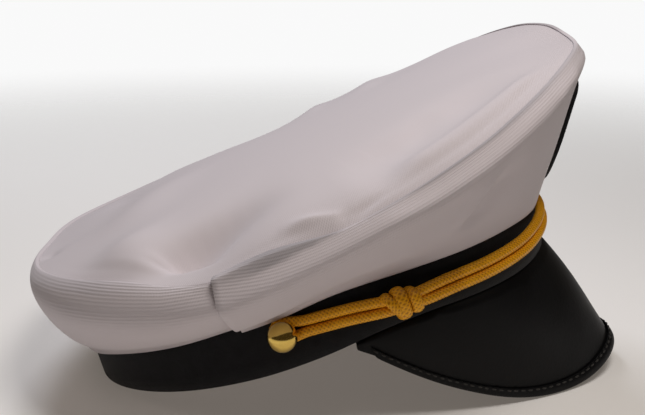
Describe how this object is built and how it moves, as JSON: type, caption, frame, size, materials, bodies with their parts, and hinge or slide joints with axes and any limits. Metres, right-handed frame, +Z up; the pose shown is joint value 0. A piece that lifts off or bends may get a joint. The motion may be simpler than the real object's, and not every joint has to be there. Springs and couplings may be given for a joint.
{
  "type": "sailor cap",
  "caption": "Soft-topped sailor cap with a white twill crown, black head band, deep black peak, golden chin cord held by brass buttons, and a plain black patch.",
  "frame": {"origin": "centre of the bounding box's footprint, on the ground that the cap rests on", "axes": "+Z up, -Y to the front of the cap, where the peak is, and -X to the wearer's right"},
  "size_m": [0.2438, 0.2518, 0.1454],
  "materials": {
    "white_twill": "white cotton twill, fine diagonal ribs",
    "black_patch": "black cloth patch, plain",
    "black_band": "matte black woollen cloth",
    "black_leather": "smooth black leather, soft sheen",
    "black_binding": "folded black leather strip",
    "golden_cord": "golden yellow braided cord",
    "brass": "polished brass"
  },
  "bodies": {
    "root": {"crown_top": "white_twill", "front_side_panel": "white_twill", "rear_side_panel": "white_twill", "badge": "black_patch", "band": "black_band", "peak": "black_leather", "peak_binding": "black_binding", "chin_cord": "golden_cord", "slide_knot_right": "golden_cord", "slide_knot_left": "golden_cord", "button_right": "brass", "button_left": "brass"}
  },
  "joints": []
}
